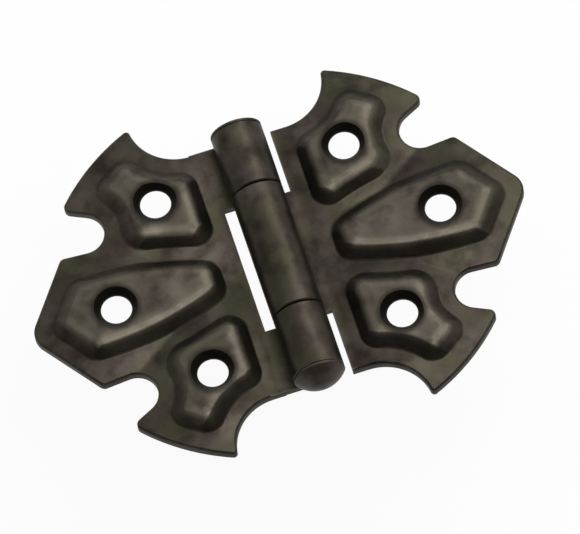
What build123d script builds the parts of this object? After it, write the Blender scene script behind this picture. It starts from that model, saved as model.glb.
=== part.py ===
"""Decorative butterfly hinge: two pressed leaves with rolled knuckles on one headed pin."""

from build123d import *
import os
from math import acos, asin, atan2, degrees, hypot, sin

os.makedirs("parts", exist_ok=True)

# Frame, in millimetres: x runs across the leaves, y along the pin, z from the back to the front.
# The origin lies on the back plane, under the middle of the pin.

# Sheet and barrel
sheet = 1.1              # thickness of the pressed steel sheet
barrel_radius = 3.05     # outside of the rolled knuckles
barrel_length = 32.4     # over the outer ends of the outer knuckles
middle_knuckle = 16.0    # length of the middle knuckle
knuckle_gap = 0.15       # play between neighbouring knuckles
pin_clearance = 0.05     # radial play of the pin in its knuckles
seam_gap = 0.25          # open seam between the end of the roll and its own leaf
knuckle_break = 0.15     # chamfer round each end of a knuckle

# Pin heads over the ends of the barrel, a formed one below and a flatter peened one above
head_land = 0.25         # straight rim of either head
formed_dome = 1.5        # height of the lower head's dome
peened_dome = 0.8        # height of the upper head's dome

# Leaf outline, to the sharp corners before they are rounded
leaf_reach = 30.0        # pin axis to the point of the leaf
slot_gap = 1.1           # barrel to the left leaf, along the middle knuckle
side_gap = 0.85          # barrel to the right leaf, along the outer knuckles
shoulder = 5.75          # pin axis to the end of the straight shoulder beside the barrel
bay_radius = 5.9         # hollow between the shoulder and the horn
horn_angle = 2.0         # how far below its level centre line the bay ends, in degrees
corner_back = 8.0        # outer corner, back from the point of the leaf
corner_drop = 1.85       # outer corner, in from the end of the barrel
horn_bow = 0.8           # bulge of the edge between the horn and the outer corner
notch_radius = 2.5
notch_back = 9.55        # notch centre, back from the point of the leaf
notch_drop = 5.4         # notch centre, in from the end of the barrel
gable_back = 6.2         # gable corner, back from the point of the leaf
gable_drop = 7.65        # gable corner, in from the end of the barrel
point_round = 2.4        # rounding of the point of the leaf
corner_round = 0.8       # rounding of the outer and gable corners
horn_round = 0.45        # rounding of the horn
edge_round = 0.3         # rolled-over front edge of the blanked sheet

# Raised panels
rim = 1.9                # flat rim between a panel and the edge of the leaf
horn_rim = 2.2           # flat rim between an end panel and the bowed edge
inner_rim = 1.85         # flat rim between an end panel and the slot beside the barrel
tip_rim = 2.5            # flat rim between the middle panel and that slot
channel_width = 1.6      # flat channel between two panels
channel_start = 2.9      # height of the channel's centre line where the end panels begin
channel_pass = 2.1       # how far inside the notch the centre line passes
channel_bow = 0.73       # bulge of the centre line between the two
tip_round = 2.35         # foot of the middle panel's inner end
heel_round = 2.2         # foot of the end panels' two corners beside the barrel
toe_round = 3.0          # foot of the end panels' corner under the notch
panel_round = 2.2        # foot of the panels' other corners
least_round = 0.4        # smallest rounding of a panel's corner on the way up
wall_run = 1.4           # width of a panel's steep wall, seen from the front
wall_rise = 1.05         # height of that wall
crown_run = 1.1          # width of the gentle slope between the wall and the flat top
crown_rise = 0.25        # height of that slope
wall_foot = 0.5          # rounding along the foot of the wall
wall_top = 2.0           # rounding along the top of the wall
crown_top = 3.0          # rounding round the flat top
hollow_mouth = 1.5       # rounding along the mouth of the hollow behind a panel

# Screw holes, countersunk from the front
hole_radius = 1.8        # passes a 3.5 mm screw
countersink = 0.75       # depth of the countersink, and how much wider it is than the hole on each side
countersink_angle = 90   # between its opposite sides, in degrees
hole_lip = 0.3           # rounding where the countersink meets the panel
end_hole_x = 11.4        # pin axis to the holes of the end panels
end_hole_drop = 4.85     # those holes, in from the end of the barrel
point_hole_back = 10.45  # hole of the middle panel, back from the point of the leaf

# Places that follow from the sizes above
half_barrel = barrel_length / 2
bore_radius = barrel_radius - sheet
pin_radius = bore_radius - pin_clearance
head_rim = half_barrel + head_land
half_middle = middle_knuckle / 2
half_slot = half_middle + knuckle_gap
slot_edge = barrel_radius + slot_gap
side_edge = barrel_radius + side_gap
panel_start = slot_edge + inner_rim
tip_start = slot_edge + tip_rim
panel_height = wall_rise + crown_rise
front = sheet + panel_height
wall_inset = sheet * (hypot(wall_run, wall_rise) - wall_run) / wall_rise

bay_centre = Vector(shoulder, half_barrel + bay_radius)
horn = bay_centre + Vector(bay_radius, 0).rotate(Axis.Z, -horn_angle)
corner = Vector(leaf_reach - corner_back, half_barrel - corner_drop)
notch = Vector(leaf_reach - notch_back, half_barrel - notch_drop)
gable = Vector(leaf_reach - gable_back, half_barrel - gable_drop)
point = Vector(leaf_reach, 0)
toe = notch - Vector(0, notch_radius + channel_pass)
outer_edge = SagittaArc(horn, corner, horn_bow)
channel_line = SagittaArc((panel_start, channel_start), toe, channel_bow)
screw_holes = [
    (end_hole_x, half_barrel - end_hole_drop),
    (leaf_reach - point_hole_back, 0),
    (end_hole_x, end_hole_drop - half_barrel),
]


def notch_tangent(outside, turn):
    """Point where the line from a corner touches the notch circle, on the side given by the sign of turn."""
    away = outside - notch
    swing = degrees(acos(notch_radius / away.length)) * turn
    return notch + (away.normalized() * notch_radius).rotate(Axis.Z, swing)


def leaf_outline(edge):
    """One leaf without its knuckles, from x = edge to its point, symmetric about the x axis."""
    upper = notch_tangent(corner, 1)
    lower = notch_tangent(gable, -1)
    with BuildSketch() as outline:
        with BuildLine():
            Line((edge, 0), (edge, half_barrel))
            Line((edge, half_barrel), (shoulder, half_barrel))
            RadiusArc((shoulder, half_barrel), horn, -bay_radius)
            add(outer_edge)
            Line(corner, upper)
            ThreePointArc(upper, notch - Vector(notch_radius, 0), lower)
            Polyline(lower, gable, point, (edge, 0))
        make_face()
        mirror(about=Plane.XZ)
        fillet(outline.vertices().sort_by_distance(point)[0], point_round)
        for place, radius in ((horn, horn_round), (corner, corner_round), (gable, corner_round)):
            for side in (1, -1):
                near = Vector(place.X, place.Y * side)
                fillet(outline.vertices().sort_by_distance(near)[0], radius)
    return outline.sketch


def channel(inset):
    """The flat channel between the middle panel and the upper one, widened by the inset on both sides."""
    with BuildSketch() as ring:
        with Locations(channel_line.arc_center):
            Circle(channel_line.radius + channel_width / 2 + inset)
            Circle(channel_line.radius - channel_width / 2 - inset, mode=Mode.SUBTRACT)
    return ring.sketch


def middle_panel(inset):
    """Outline of the middle panel, a given distance inside its foot."""
    back = (rim + inset) / sin(atan2(gable.Y, gable_back))
    with BuildSketch() as panel:
        with BuildLine():
            Polyline(
                (tip_start + inset, gable.Y),
                (gable.X - back, gable.Y),
                (leaf_reach - back, 0),
                (gable.X - back, -gable.Y),
                (tip_start + inset, -gable.Y),
                close=True,
            )
        make_face()
        add(channel(inset), mode=Mode.SUBTRACT)
        mirror(channel(inset), about=Plane.XZ, mode=Mode.SUBTRACT)
    with BuildSketch() as wedge:
        add(panel.faces().sort_by_distance((tip_start, 0))[0])
        fillet(wedge.vertices().group_by(Axis.X)[0], max(tip_round - inset, least_round))
        for place in (gable, point, Vector(gable.X, -gable.Y)):
            fillet(wedge.vertices().sort_by_distance(place)[0], max(panel_round - inset, least_round))
    return wedge.sketch


def end_panel(inset):
    """Outline of the upper end panel, a given distance inside its foot."""
    with BuildSketch() as panel:
        with Locations((panel_start + inset, 0)):
            Rectangle(leaf_reach, 2 * leaf_reach, align=(Align.MIN, Align.MIN))
        with Locations(outer_edge.arc_center):
            Circle(outer_edge.radius - horn_rim - inset, mode=Mode.INTERSECT)
        with Locations(notch):
            Circle(notch_radius + rim + inset, mode=Mode.SUBTRACT)
        with Locations(bay_centre):
            Circle(bay_radius + rim + inset, mode=Mode.SUBTRACT)
        add(channel(inset), mode=Mode.SUBTRACT)
    with BuildSketch() as pad:
        add(panel.faces().sort_by_distance(screw_holes[0])[0])
        fillet(pad.vertices().group_by(Axis.X)[0], max(heel_round - inset, least_round))
        for place, radius in ((toe, toe_round), (horn, panel_round), (corner, panel_round)):
            fillet(pad.vertices().sort_by_distance(place)[0], max(radius - inset, least_round))
    return pad.sketch


def panel_solids(level, steps, roundings):
    """The three panels as solids on a level: inset and height of each outline, and the rounding along it."""
    solids = []
    for outline in (end_panel, middle_panel):
        with BuildPart() as panel:
            for inset, height in steps:
                with BuildSketch(Plane.XY.offset(level + height)):
                    add(outline(inset))
            loft(ruled=True)
            for (inset, height), radius in zip(reversed(steps), reversed(roundings)):
                level_edges = panel.edges().filter_by(lambda e: e.bounding_box().size.Z < 0.001)
                fillet(level_edges.filter_by_position(Axis.Z, level + height, level + height), radius)
        solids.append(panel.part)
    return solids + [mirror(solids[0], about=Plane.XZ, mode=Mode.PRIVATE)]


def pressed_sheet(edge, knuckles):
    """One pressed leaf and its rolled knuckles, each knuckle given by its two ends along the pin."""
    wall_head = (wall_run, wall_rise)
    crown = (wall_run + crown_run, panel_height)
    raised = panel_solids(sheet, [(0, 0), wall_head, crown], [wall_top, crown_top])
    hollow_top = (wall_inset + wall_run + crown_run / 2, panel_height)
    hollows = panel_solids(0, [(wall_inset, 0), hollow_top], [])
    rolls = [knuckle(low, high) for low, high in knuckles]
    with BuildPart() as leaf:
        with BuildSketch():
            add(leaf_outline(edge))
        extrude(amount=sheet)
        add(raised)
        rim_face = leaf.faces().filter_by(Axis.Z).group_by(Axis.Z)[1][0]
        for foot in rim_face.inner_wires():
            fillet(foot.edges(), wall_foot)
        rim_edges = leaf.faces().filter_by(Axis.Z).group_by(Axis.Z)[1][0].outer_wire().edges()
        fillet(rim_edges.filter_by(lambda e: e.bounding_box().max.X > edge + edge_round), edge_round)
        add(hollows, mode=Mode.SUBTRACT)
        back = leaf.faces().sort_by(Axis.Z)[0]
        for mouth in back.inner_wires():
            fillet(mouth.edges(), hollow_mouth)
        with Locations(*[(x, y, front) for x, y in screw_holes]):
            CounterSinkHole(
                hole_radius,
                hole_radius + countersink,
                depth=front,
                counter_sink_angle=countersink_angle,
            )
        rings = leaf.edges().filter_by(GeomType.CIRCLE).filter_by(lambda e: e.is_closed)
        fillet(rings.group_by(Axis.Z)[-1], hole_lip)
        add(rolls)
    return leaf.part


def knuckle(low, high):
    """A rolled knuckle, nearly a full turn round the pin, and the strip of sheet that leads into it."""
    start = -90
    seam = degrees(asin((sheet + seam_gap - barrel_radius) / barrel_radius))
    turn = seam - 360 - start
    axis = (0, barrel_radius)
    with BuildPart() as roll:
        with BuildSketch(Plane((0, high, 0), x_dir=(1, 0, 0), z_dir=(0, -1, 0))):
            with BuildLine():
                outside = CenterArc(axis, barrel_radius, start, turn)
                inside = CenterArc(axis, bore_radius, start, turn)
                Line(outside @ 1, inside @ 1)
                Polyline(inside @ 0, (panel_start, sheet), (panel_start, 0), outside @ 0)
            make_face()
        extrude(amount=high - low)
        ends = roll.faces().filter_by(Axis.Y).edges().filter_by(GeomType.CIRCLE)
        chamfer(ends.filter_by(lambda e: e.radius > bore_radius + sheet / 2), knuckle_break)
    return roll.part


with BuildPart() as right_leaf:
    add(pressed_sheet(side_edge, [(-half_middle, half_middle)]))
right_leaf.part.label = "right_leaf"
export_step(right_leaf.part, "parts/right_leaf.step")

with BuildPart() as left_leaf:
    mirror(pressed_sheet(slot_edge, [(half_slot, half_barrel), (-half_barrel, -half_slot)]), about=Plane.YZ)
left_leaf.part.label = "left_leaf"
export_step(left_leaf.part, "parts/left_leaf.step")


def dome(height, level):
    """Arc from the rim of a head to its crown on the axis, the rim at the given place along the pin."""
    radius = (barrel_radius**2 + height**2) / (2 * height)
    side = 1 if level > 0 else -1
    return RadiusArc((barrel_radius, level), (0, level + side * height), -side * radius)


# The pin and its two heads, turned about the barrel's centre line
with BuildPart() as pin:
    with BuildSketch(Plane.XY.offset(barrel_radius)):
        with BuildLine():
            lower = dome(formed_dome, -head_rim)
            upper = dome(peened_dome, head_rim)
            Polyline(
                lower @ 0,
                (barrel_radius, -half_barrel),
                (pin_radius, -half_barrel),
                (pin_radius, half_barrel),
                (barrel_radius, half_barrel),
                upper @ 0,
            )
            Line(upper @ 1, lower @ 1)
        make_face()
    revolve(axis=Axis((0, 0, barrel_radius), (0, 1, 0)))
pin.part.label = "pin"
export_step(pin.part, "parts/pin.step")
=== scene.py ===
"""The looks of a decorative butterfly hinge: its plated leaves and pin over a pale studio floor."""

import math

import bpy
from bpy.props import FloatProperty, FloatVectorProperty, PointerProperty
from mathutils import Matrix, Vector


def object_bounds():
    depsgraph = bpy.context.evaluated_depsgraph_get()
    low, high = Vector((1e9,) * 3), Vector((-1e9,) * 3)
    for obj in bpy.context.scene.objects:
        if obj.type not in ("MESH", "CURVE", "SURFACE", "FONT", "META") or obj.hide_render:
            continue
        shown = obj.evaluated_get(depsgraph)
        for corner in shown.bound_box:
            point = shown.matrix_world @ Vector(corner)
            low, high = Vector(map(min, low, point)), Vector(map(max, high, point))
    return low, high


bl_info = {
    "name": "Butterfly Hinge",
    "version": (1, 0, 0),
    "blender": (4, 5, 0),
    "location": "View3D > Sidebar > Hinge",
    "description": "Finishes a decorative butterfly hinge and sets it over a studio floor",
    "category": "Object",
}

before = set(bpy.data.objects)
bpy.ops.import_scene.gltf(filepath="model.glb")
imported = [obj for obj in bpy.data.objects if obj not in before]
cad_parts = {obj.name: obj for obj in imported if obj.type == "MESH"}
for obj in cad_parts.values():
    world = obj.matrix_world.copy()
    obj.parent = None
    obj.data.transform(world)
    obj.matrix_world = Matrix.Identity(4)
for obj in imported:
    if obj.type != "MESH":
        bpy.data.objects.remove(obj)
CAD_LOW, CAD_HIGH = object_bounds()
MM = 0.001

# Screw holes of a leaf in millimetres, the same on both leaves and on both sides of their middle
HOLES = ((11.4, 11.35), (19.55, 0.0))

# Bounds of the masks, as (nothing, all). Places on the piece, in millimetres:
BESIDE_BARREL = (4.0, 5.0)
BESIDE_MIDDLE = (0.0, 2.5)
NEARER_HOLE = (-1.0, 1.0)
HOLE_RING = (3.3, 2.5)
DRAWN_SHEET = (4.0, 7.0)
BELOW_FRONT = (1.3, 1.0)
ON_FRONT = (1.35, 1.12)
WALL_FOOT = (1.03, 1.15)
WALL_HEAD = (1.4, 1.9)
SCREW_SEAT = (1.2, 1.4)
PANEL_TOP = (1.5, 2.2)
# Upright part of the surface's normal:
SEAT_SLOPE = (0.8, 0.72)
STEEPER_THAN_TOP = (0.998, 0.98)
FLATTER_THAN_WALL = (0.93, 0.96)
SHEARED = (0.6, 0.2)
# The side that a panel's wall has to face to get painted shade, towards the barrel and the near end
TO_BARREL = (-0.6, 0.0, 0.0)
TO_NEAR_END = (0.0, -0.8, 0.0)
SHADE_FACING = (0.12, 0.26)
WALL_HEAD_RELIEF = -0.15

# How rubbed a panel's top is, and how much more so its crest
TOP_RUB = 0.4
CREST_RUB = 0.45

# How dark each kind of hollow is in the painted shade, with the darkened hole rings and sheared sides
SEAT_DEPTH = 1.0
WALL_SHADE = 0.75
RING_DEPTH = 0.7
SIDE_DEPTH = 0.6

# Noises of the plating: scale per millimetre, detail and roughness
RUBBING = (1.1, 3.0, 0.5)
CLOUDS = (0.22, 4.0, 0.6)
PATCHES = (0.18, 2.0, 0.5)
BLOTCHES = (0.37, 3.0, 0.55)
SPECKLE = (3.5, 3.0, 0.6)
PITS = (9.0, 2.0, 0.5)
WAVES = (0.19, 1.0, 0.5)

# Gain and shift that turn a noise into a mask
BROWN_PATCHES = (5.0, -2.0)
LIGHT_CLOUDS = (2.6, -1.15)
DARK_BLOTCHES = (3.2, -1.55)

# Shares of the masks in colour, gloss and height
SPECKLE_LIGHT = 0.12
CLOUD_LIGHT = 0.42
TOP_LIGHT = 0.62
BLOTCH_DARK = 0.8
CLOUD_GLOSS = 0.18
SPECKLE_GLOSS = 0.1
RECESS_GLOSS = 0.15
PIT_HEIGHT = 0.3
SPECKLE_HEIGHT = 0.7
FINE_HEIGHT = 0.02

# Camera, as the photograph was taken: turned and tilted about the hinge's middle
PHOTO_WIDTH = 580
PHOTO_HEIGHT = 534
CAMERA_TILT = math.radians(26.0)
CAMERA_TILT_AXIS = math.radians(10.61)
CAMERA_ROLL = math.radians(18.213)
PIXELS_PER_MM = 8.6932
CAMERA_DISTANCE = 1.4286
MIDDLE_IN_PHOTO = (279.702, 264.321)
SENSOR_WIDTH = 36.0

# Floor, low enough for the right leaf when it's turned back, and its share of plain white in what is seen of it
FLOOR_DROP = 28 * MM
FLOOR_COLOUR = (0.85, 0.85, 0.85, 1.0)
FLOOR_WHITE = 0.92

# Lights
KEY_PLACE = Vector((0.144, -0.243, 0.855))
SIDE_PLACE = Vector((0.414, 0.378, 0.702))
LIGHT_SIZE = 0.42

# Felt screen: its ring, how high it rises in degrees, and how pale the felt is along it and at its foot
SCREEN_RADIUS = 0.9
SCREEN_FOOT = 0.04
SCREEN_STEPS = 72
SCREEN_RISE = 38
SCREEN_LOWER_RIGHT = 16
SCREEN_LOWER_BEHIND = 17
SCREEN_DIP = 12
SCREEN_DIP_TURN = math.radians(55)
FELT_SLOPE = 0.52
FELT_SHADE = 0.5
FELT_FOOT = (0.3, 0.1)


class HingeFinishSettings(bpy.types.PropertyGroup):
    """Colours and surface of the plating."""

    plating: FloatVectorProperty(
        name="Plating", description="Olive bronze of the flat faces", subtype="COLOR",
        default=(0.05, 0.046, 0.0305), min=0.0, max=1.0,
    )
    tarnish: FloatVectorProperty(
        name="Tarnish", description="Browner bronze in soft patches", subtype="COLOR",
        default=(0.049, 0.038, 0.033), min=0.0, max=1.0,
    )
    worn: FloatVectorProperty(
        name="Worn edges", description="Lighter bronze where the plating is rubbed", subtype="COLOR",
        default=(0.147, 0.132, 0.104), min=0.0, max=1.0,
    )
    # Dark colour of the random blotches, and of the painted shade in hollows, countersinks and on walls
    shade_and_patina: FloatVectorProperty(
        name="Shade and patina", description="Dark bronze of blotches, and painted shade in corners and hollows", subtype="COLOR",
        default=(0.013, 0.011, 0.0085), min=0.0, max=1.0,
    )
    roughness: FloatProperty(
        name="Roughness", description="Roughness of the flat faces", subtype="FACTOR", default=0.42, min=0.0, max=1.0,
    )
    leaf_edge: FloatProperty(
        name="Leaf edge wear", description="Width of the rubbed edges of the leaves", unit="LENGTH",
        default=0.35 * MM, min=0.0, precision=5,
    )
    pin_edge: FloatProperty(
        name="Pin edge wear", description="Width of the rubbed edges of the pin", unit="LENGTH",
        default=0.2 * MM, min=0.0, precision=5,
    )


class HingeStageSettings(bpy.types.PropertyGroup):
    """Floor and light."""

    floor_size: FloatProperty(
        name="Floor size", description="Side of the square floor", unit="LENGTH", default=6.0, min=0.5,
    )
    key_power: FloatProperty(
        name="Key light", description="Power of the soft light overhead", unit="POWER", default=2.8, min=0.0,
    )
    side_power: FloatProperty(
        name="Side light", description="Power of the soft light behind on the right", unit="POWER",
        default=1.5, min=0.0,
    )
    room_light: FloatProperty(
        name="Room light", description="Strength of the light from the room", default=0.85, min=0.0,
    )


def new_material(name):
    """An empty material, its tree and its output node."""
    material = bpy.data.materials.new(name)
    material.use_nodes = True
    tree = material.node_tree
    tree.nodes.clear()
    return material, tree, tree.nodes.new("ShaderNodeOutputMaterial")


def add_node(tree, kind, inputs=None, **settings):
    """A shader node with its settings, and a socket or a value on each given input."""
    node = tree.nodes.new("ShaderNode" + kind)
    for name, value in settings.items():
        setattr(node, name, value)
    for key, value in (inputs or {}).items():
        if isinstance(value, bpy.types.NodeSocket):
            tree.links.new(value, node.inputs[key])
        else:
            node.inputs[key].default_value = value
    return node


def math_node(tree, operation, *values, clamp=False):
    """A Math node on sockets or numbers, and its result."""
    return add_node(tree, "Math", dict(enumerate(values)), operation=operation, use_clamp=clamp).outputs[0]


def product(tree, *values):
    """The product of two or more sockets or numbers."""
    result = values[0]
    for value in values[1:]:
        result = math_node(tree, "MULTIPLY", result, value)
    return result


def vector_node(tree, operation, *values):
    """A Vector Math node on sockets or vectors, and its outputs."""
    return add_node(tree, "VectorMath", dict(enumerate(values)), operation=operation).outputs


def scaled(tree, vector, scale):
    """A vector times a number or a socket."""
    return add_node(tree, "VectorMath", {0: vector, "Scale": scale}, operation="SCALE").outputs[0]


def split(tree, vector):
    """The three parts of a vector."""
    return add_node(tree, "SeparateXYZ", {0: vector}).outputs


def mix_colour(tree, factor, first, second):
    """A colour Mix node on sockets, and its result."""
    return add_node(tree, "Mix", {0: factor, 6: first, 7: second}, data_type="RGBA").outputs[2]


def noise(tree, place, scale, detail, roughness):
    """Noise of the given scale per millimetre."""
    inputs = {"Vector": place, "Scale": scale, "Detail": detail, "Roughness": roughness}
    return add_node(tree, "TexNoise", inputs).outputs[0]


def ramp(tree, value, start, end):
    """0 below start and 1 above end, with a smooth change between, or the other way where end is the lower."""
    inputs = {"Value": value, "From Min": start, "From Max": end}
    return add_node(tree, "MapRange", inputs, interpolation_type="SMOOTHSTEP").outputs[0]


def in_millimetres(tree):
    """Place on the piece in millimetres."""
    return scaled(tree, add_node(tree, "TexCoord").outputs["Object"], 1 / MM)


def group_tree(name, inputs, outputs):
    """A shader node group with its sockets, the outputs of its input node, and the inputs of its output node."""
    tree = bpy.data.node_groups.new(name, "ShaderNodeTree")
    for label, kind, default in inputs:
        tree.interface.new_socket(name=label, in_out="INPUT", socket_type=kind).default_value = default
    for label, kind in outputs:
        tree.interface.new_socket(name=label, in_out="OUTPUT", socket_type=kind)
    return tree, tree.nodes.new("NodeGroupInput").outputs, tree.nodes.new("NodeGroupOutput").inputs


def round_holes(tree, place):
    """Distance from the nearer screw hole, the direction away from it, and a mask that fades where two tie."""
    side = vector_node(tree, "SIGN", place)[0]
    level = vector_node(tree, "MULTIPLY", place, (1.0, 1.0, 0.0))[0]
    away = []
    far = []
    for x, y in HOLES:
        hole = vector_node(tree, "MULTIPLY", side, (x, y, 0.0))[0]
        offset = vector_node(tree, "SUBTRACT", level, hole)[0]
        away.append(vector_node(tree, "NORMALIZE", offset)[0])
        far.append(vector_node(tree, "LENGTH", offset)[1])
    second = ramp(tree, math_node(tree, "SUBTRACT", *far), *NEARER_HOLE)
    direction = add_node(tree, "Mix", {0: second, 4: away[0], 5: away[1]}, data_type="VECTOR").outputs[1]
    off_middle = ramp(tree, math_node(tree, "ABSOLUTE", split(tree, place)[1]), *BESIDE_MIDDLE)
    clear = math_node(tree, "MAXIMUM", second, off_middle)
    return math_node(tree, "MINIMUM", *far), direction, clear


def edge_mask(tree, given, geometry, place):
    """Rubbed edges, in patches."""
    bevel = add_node(tree, "Bevel", {"Radius": given["Edge width"]}, samples=6)
    alike = vector_node(tree, "DOT_PRODUCT", bevel.outputs["Normal"], geometry.outputs["Normal"])[1]
    bend = math_node(tree, "SUBTRACT", 1.0, alike)
    rubbed = math_node(tree, "MULTIPLY", bend, given["Edge strength"], clamp=True)
    return math_node(tree, "MULTIPLY", rubbed, noise(tree, place, *RUBBING), clamp=True)


def painted_wall_shade(tree, place, up, facing, off_barrel):
    """Painted shade on the walls of the panels that face the barrel and the near end."""
    side = vector_node(tree, "MULTIPLY", vector_node(tree, "SIGN", place)[0], (1.0, 0.0, 0.0))[0]
    shade_direction = vector_node(tree, "MULTIPLY_ADD", side, TO_BARREL, TO_NEAR_END)[0]
    turned = vector_node(tree, "DOT_PRODUCT", facing, shade_direction)[1]
    turned = math_node(tree, "MULTIPLY_ADD", ramp(tree, up, *WALL_HEAD), WALL_HEAD_RELIEF, turned)
    return product(tree, ramp(tree, turned, *SHADE_FACING), ramp(tree, up, *WALL_FOOT), off_barrel)


def wear_and_shade_group():
    """Masks of rubbed edges, rubbed tops and painted shade in hollows and on walls, and the normal of a sheet drawn
    down round its panels.
    """
    tree, given, result = group_tree(
        "Hinge wear and shade",
        [
            ("Edge width", "NodeSocketFloat", 0.3 * MM),
            ("Edge strength", "NodeSocketFloat", 3.0),
            ("Shade reach", "NodeSocketFloat", 1.2 * MM),
            ("Draw", "NodeSocketFloat", 0.25),
        ],
        [
            ("Edges", "NodeSocketFloat"),
            ("Tops", "NodeSocketFloat"),
            ("Shade and patina", "NodeSocketFloat"),
            ("Normal", "NodeSocketVector"),
        ],
    )
    geometry = add_node(tree, "NewGeometry")
    place = in_millimetres(tree)
    across, _, up = split(tree, place)
    off_barrel = ramp(tree, math_node(tree, "ABSOLUTE", across), *BESIDE_BARREL)
    facing = add_node(tree, "TexCoord").outputs["Normal"]
    upright = split(tree, facing)[2]
    distance, outward, clear = round_holes(tree, place)

    crest = product(tree, ramp(tree, upright, *FLATTER_THAN_WALL), ramp(tree, upright, *STEEPER_THAN_TOP))
    crest = math_node(tree, "MULTIPLY_ADD", crest, CREST_RUB, TOP_RUB)
    tops = product(tree, ramp(tree, up, *PANEL_TOP), off_barrel, crest)

    # Painted shade in the steep walls of the countersinks
    seat = product(tree, ramp(tree, up, *SCREW_SEAT), off_barrel, ramp(tree, upright, *SEAT_SLOPE))
    # Painted shade on the panel walls that face the barrel and the near end
    wall = painted_wall_shade(tree, place, up, facing, off_barrel)
    ring = ramp(tree, distance, *HOLE_RING)
    level = math_node(tree, "ABSOLUTE", upright)
    side = product(tree, ramp(tree, level, *SHEARED), ramp(tree, up, *BELOW_FRONT))
    # Painted shade where the piece hides itself within the reach, joined by the other darkened places
    reach = {"Distance": given["Shade reach"]}
    shade = add_node(tree, "AmbientOcclusion", reach, samples=6, only_local=True)
    shade_and_patina_mask = math_node(tree, "SUBTRACT", 1.0, shade.outputs["AO"], clamp=True)
    for mask, depth in ((seat, SEAT_DEPTH), (wall, WALL_SHADE), (ring, RING_DEPTH), (side, SIDE_DEPTH)):
        shade_and_patina_mask = math_node(tree, "MAXIMUM", shade_and_patina_mask, product(tree, mask, depth))

    drawn = product(tree, ramp(tree, distance, *DRAWN_SHEET), given["Draw"])
    slope = product(tree, drawn, ramp(tree, up, *ON_FRONT), off_barrel, clear)
    lean = scaled(tree, outward, slope)
    lean = add_node(tree, "VectorTransform", {0: lean}, convert_from="OBJECT", convert_to="WORLD").outputs[0]
    normal = vector_node(tree, "ADD", geometry.outputs["Normal"], lean)[0]

    tree.links.new(edge_mask(tree, given, geometry, place), result["Edges"])
    tree.links.new(tops, result["Tops"])
    tree.links.new(shade_and_patina_mask, result["Shade and patina"])
    tree.links.new(vector_node(tree, "NORMALIZE", normal)[0], result["Normal"])
    return tree


def plating_group():
    """Cloudy colour, uneven gloss and fine pitting of the plated steel, with painted shade laid over the colour."""
    tree, given, result = group_tree(
        "Hinge plating",
        [
            ("Plating", "NodeSocketColor", (0.05, 0.046, 0.0305, 1.0)),
            ("Tarnish", "NodeSocketColor", (0.049, 0.038, 0.033, 1.0)),
            ("Worn", "NodeSocketColor", (0.147, 0.132, 0.104, 1.0)),
            ("Shade and patina colour", "NodeSocketColor", (0.013, 0.011, 0.0085, 1.0)),
            ("Edges", "NodeSocketFloat", 0.0),
            ("Tops", "NodeSocketFloat", 0.0),
            ("Shade and patina", "NodeSocketFloat", 0.0),
            ("Roughness", "NodeSocketFloat", 0.42),
            ("Swell", "NodeSocketFloat", 0.15),
        ],
        [
            ("Colour", "NodeSocketColor"),
            ("Roughness", "NodeSocketFloat"),
            ("Height", "NodeSocketFloat"),
        ],
    )
    place = in_millimetres(tree)
    clouds = noise(tree, place, *CLOUDS)
    speckle = noise(tree, place, *SPECKLE)

    brown = math_node(tree, "MULTIPLY_ADD", noise(tree, place, *PATCHES), *BROWN_PATCHES, clamp=True)
    colour = mix_colour(tree, brown, given["Plating"], given["Tarnish"])
    light = math_node(tree, "MULTIPLY_ADD", clouds, *LIGHT_CLOUDS)
    light = math_node(tree, "ADD", light, product(tree, speckle, SPECKLE_LIGHT), clamp=True)
    tops = product(tree, given["Tops"], TOP_LIGHT)
    light = math_node(tree, "MULTIPLY_ADD", light, CLOUD_LIGHT, tops, clamp=True)
    colour = mix_colour(tree, light, colour, given["Worn"])
    dark = math_node(tree, "MULTIPLY_ADD", noise(tree, place, *BLOTCHES), *DARK_BLOTCHES, clamp=True)
    colour = mix_colour(tree, product(tree, dark, BLOTCH_DARK), colour, given["Shade and patina colour"])
    colour = mix_colour(tree, given["Edges"], colour, given["Worn"])
    # Painted shade over the colour
    colour = mix_colour(tree, given["Shade and patina"], colour, given["Shade and patina colour"])

    uneven = product(tree, math_node(tree, "SUBTRACT", clouds, 0.5), CLOUD_GLOSS)
    fine = product(tree, math_node(tree, "SUBTRACT", speckle, 0.5), SPECKLE_GLOSS)
    gloss = math_node(tree, "ADD", given["Roughness"], math_node(tree, "ADD", uneven, fine))
    gloss = math_node(tree, "ADD", gloss, product(tree, given["Shade and patina"], RECESS_GLOSS), clamp=True)

    grain = product(tree, speckle, SPECKLE_HEIGHT)
    grain = math_node(tree, "MULTIPLY_ADD", noise(tree, place, *PITS), PIT_HEIGHT, grain)
    waves = product(tree, noise(tree, place, *WAVES), given["Swell"])
    height = math_node(tree, "MULTIPLY_ADD", grain, FINE_HEIGHT, waves)

    tree.links.new(colour, result["Colour"])
    tree.links.new(gloss, result["Roughness"])
    tree.links.new(height, result["Height"])
    return tree


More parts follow.
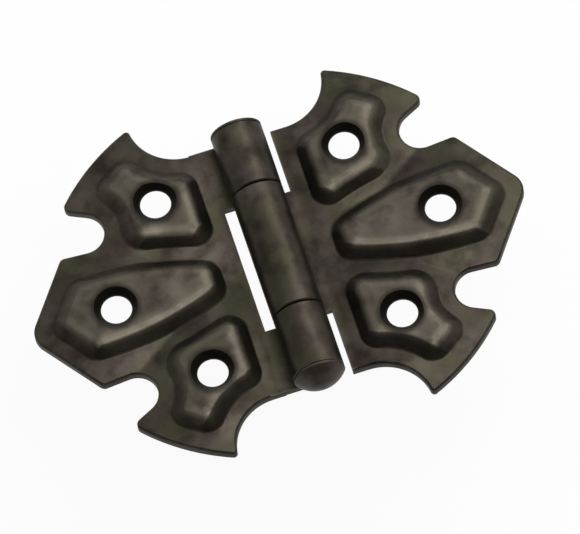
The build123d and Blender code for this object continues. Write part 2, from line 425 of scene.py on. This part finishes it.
def bronze(name, finish, edge_width, swell, roughness):
    """Antique bronze plating, with its own width of worn edge, waviness and roughness."""
    groups = bpy.data.node_groups
    wear_and_shade = groups.get("Hinge wear and shade") or wear_and_shade_group()
    plating = groups.get("Hinge plating") or plating_group()
    material, tree, output = new_material(name)
    masks = add_node(tree, "Group", node_tree=wear_and_shade)
    masks.inputs["Edge width"].default_value = edge_width
    surface = add_node(tree, "Group", node_tree=plating)
    for socket, colour in (
        ("Plating", finish.plating),
        ("Tarnish", finish.tarnish),
        ("Worn", finish.worn),
        ("Shade and patina colour", finish.shade_and_patina),
    ):
        surface.inputs[socket].default_value = (*colour, 1.0)
    surface.inputs["Roughness"].default_value = roughness
    surface.inputs["Swell"].default_value = swell
    for mask in ("Edges", "Tops", "Shade and patina"):
        tree.links.new(masks.outputs[mask], surface.inputs[mask])
    bump = add_node(
        tree, "Bump",
        {"Strength": 1.0, "Distance": MM, "Height": surface.outputs["Height"], "Normal": masks.outputs["Normal"]},
    )
    shader = add_node(
        tree, "BsdfPrincipled",
        {
            "Metallic": 1.0,
            "Base Color": surface.outputs["Colour"],
            "Roughness": surface.outputs["Roughness"],
            "Normal": bump.outputs["Normal"],
        },
    )
    tree.links.new(shader.outputs["BSDF"], output.inputs["Surface"])
    return material


class HINGE_OT_leaves(bpy.types.Operator):
    """Finish the two pressed leaves and their rolled knuckles"""

    bl_idname = "hinge.leaves"
    bl_label = "Leaves"

    def execute(self, context):
        finish = context.scene.hinge_finish
        material = bronze("leaf_bronze", finish, finish.leaf_edge, 0.5, finish.roughness)
        for node in ("left_leaf", "right_leaf"):
            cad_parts[node].material_slots[0].material = material
        return {"FINISHED"}


class HINGE_OT_pin(bpy.types.Operator):
    """Finish the pin and its two heads"""

    bl_idname = "hinge.pin"
    bl_label = "Pin"

    def execute(self, context):
        finish = context.scene.hinge_finish
        material = bronze("pin_bronze", finish, finish.pin_edge, 0.1, finish.roughness + 0.05)
        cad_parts["pin"].material_slots[0].material = material
        return {"FINISHED"}


def soft_light(name, place, power):
    """A square soft light that faces the hinge."""
    lamp = bpy.data.lights.new(name, "AREA")
    lamp.shape = "SQUARE"
    lamp.size = LIGHT_SIZE
    lamp.energy = power
    light = bpy.data.objects.new(name, lamp)
    light.matrix_world = Matrix.LocRotScale(place, place.to_track_quat("Z", "Y"), None)
    bpy.context.scene.collection.objects.link(light)


class HINGE_OT_stage(bpy.types.Operator):
    """Lay the floor and set the light and the camera"""

    bl_idname = "hinge.stage"
    bl_label = "Stage"

    def execute(self, context):
        settings = context.scene.hinge_stage
        self.floor(settings.floor_size / 2)
        self.light(context.scene, settings)
        self.screen(context.scene)
        self.camera(context.scene)
        context.scene.view_settings.view_transform = "Standard"
        return {"FINISHED"}

    def floor(self, half):
        """A white floor below the hinge, which shows white, keeps a faint shadow and is clear from below."""
        mesh = bpy.data.meshes.new("floor")
        level = CAD_LOW.z - FLOOR_DROP
        corners = [(-half, -half, level), (half, -half, level), (half, half, level), (-half, half, level)]
        mesh.from_pydata(corners, [], [(0, 1, 2, 3)])
        floor = bpy.data.objects.new("floor", mesh)
        bpy.context.scene.collection.objects.link(floor)
        material, tree, output = new_material("white_floor")
        paper = add_node(tree, "BsdfDiffuse", {"Color": FLOOR_COLOUR})
        glow = add_node(tree, "Emission", {"Strength": 1.0})
        path = add_node(tree, "LightPath").outputs
        seen = math_node(tree, "ADD", path["Is Camera Ray"], path["Is Glossy Ray"])
        seen = math_node(tree, "ADD", seen, path["Is Transmission Ray"], clamp=True)
        share = product(tree, seen, FLOOR_WHITE)
        upper = add_node(tree, "MixShader", {0: share, 1: paper.outputs[0], 2: glow.outputs[0]})
        behind = add_node(tree, "NewGeometry").outputs["Backfacing"]
        nothing = add_node(tree, "BsdfTransparent")
        surface = add_node(tree, "MixShader", {0: behind, 1: upper.outputs[0], 2: nothing.outputs[0]})
        tree.links.new(surface.outputs[0], output.inputs["Surface"])
        mesh.materials.append(material)

    def light(self, scene, settings):
        """Two soft lights in an even room."""
        soft_light("key_light", KEY_PLACE, settings.key_power)
        soft_light("side_light", SIDE_PLACE, settings.side_power)
        world = bpy.data.worlds.new("room")
        world.use_nodes = True
        background = world.node_tree.nodes["Background"]
        background.inputs["Color"].default_value = (1.0, 1.0, 1.0, 1.0)
        background.inputs["Strength"].default_value = settings.room_light
        scene.world = world

    def screen(self, scene):
        """A felt screen round the hinge, out of the camera's sight and highest on the left and in front."""
        corners = []
        for step in range(SCREEN_STEPS):
            turn = math.tau * step / SCREEN_STEPS
            dip = SCREEN_DIP * max(0.0, math.cos(turn - SCREEN_DIP_TURN)) ** 3
            lower = SCREEN_LOWER_RIGHT * math.cos(turn) + SCREEN_LOWER_BEHIND * math.sin(turn)
            rise = math.radians(SCREEN_RISE - lower - dip)
            for height in (SCREEN_FOOT, SCREEN_RADIUS * math.tan(rise)):
                corners.append((SCREEN_RADIUS * math.cos(turn), SCREEN_RADIUS * math.sin(turn), height))
        size = len(corners)
        faces = [(i, (i + 2) % size, (i + 3) % size, i + 1) for i in range(0, size, 2)]
        mesh = bpy.data.meshes.new("screen")
        mesh.from_pydata(corners, [], faces)
        screen = bpy.data.objects.new("screen", mesh)
        screen.visible_camera = False
        material, tree, output = new_material("felt")
        _, along, up = split(tree, add_node(tree, "TexCoord").outputs["Object"])
        shade = math_node(tree, "MULTIPLY_ADD", along, FELT_SLOPE, FELT_SHADE)
        foot = product(tree, ramp(tree, up, *FELT_FOOT), FELT_SHADE)
        felt = add_node(tree, "BsdfDiffuse", {"Color": math_node(tree, "MAXIMUM", shade, foot)})
        tree.links.new(felt.outputs[0], output.inputs["Surface"])
        mesh.materials.append(material)
        scene.collection.objects.link(screen)

    def camera(self, scene):
        """The camera, placed so that the hinge lies in the frame as it does in the photograph."""
        axis = Vector((math.cos(CAMERA_TILT_AXIS), math.sin(CAMERA_TILT_AXIS), 0.0))
        turn = Matrix.Rotation(-CAMERA_TILT, 3, axis) @ Matrix.Rotation(CAMERA_ROLL, 3, "Z")
        right = (PHOTO_WIDTH / 2 - MIDDLE_IN_PHOTO[0]) / PIXELS_PER_MM * MM
        up = (MIDDLE_IN_PHOTO[1] - PHOTO_HEIGHT / 2) / PIXELS_PER_MM * MM
        lens = bpy.data.cameras.new("camera")
        lens.sensor_width = SENSOR_WIDTH
        lens.lens = PIXELS_PER_MM / MM * CAMERA_DISTANCE * SENSOR_WIDTH / PHOTO_WIDTH
        lens.clip_start = 0.05
        lens.clip_end = 20.0
        camera = bpy.data.objects.new("camera", lens)
        camera.matrix_world = turn.transposed().to_4x4()
        camera.location = turn.transposed() @ Vector((right, up, CAMERA_DISTANCE))
        scene.collection.objects.link(camera)
        scene.camera = camera


class HINGE_PT_panel(bpy.types.Panel):
    """Hinge tools in the sidebar of the 3D view"""

    bl_label = "Butterfly Hinge"
    bl_idname = "HINGE_PT_panel"
    bl_space_type = "VIEW_3D"
    bl_region_type = "UI"
    bl_category = "Hinge"

    def draw(self, context):
        layout = self.layout
        for operator in (HINGE_OT_leaves, HINGE_OT_pin, HINGE_OT_stage):
            layout.operator(operator.bl_idname)
        for settings in (context.scene.hinge_finish, context.scene.hinge_stage):
            for name in settings.__annotations__:
                layout.prop(settings, name)


CLASSES = (
    HingeFinishSettings,
    HingeStageSettings,
    HINGE_OT_leaves,
    HINGE_OT_pin,
    HINGE_OT_stage,
    HINGE_PT_panel,
)


def register():
    """Registers the classes and their settings."""
    for each in CLASSES:
        bpy.utils.register_class(each)
    bpy.types.Scene.hinge_finish = PointerProperty(type=HingeFinishSettings)
    bpy.types.Scene.hinge_stage = PointerProperty(type=HingeStageSettings)


def unregister():
    """Takes them off again."""
    del bpy.types.Scene.hinge_stage
    del bpy.types.Scene.hinge_finish
    for each in reversed(CLASSES):
        bpy.utils.unregister_class(each)


def main():
    """Makes the whole scene."""
    register()
    bpy.ops.hinge.stage()
    bpy.ops.hinge.leaves()
    bpy.ops.hinge.pin()


if __name__ == "__main__":
    main()
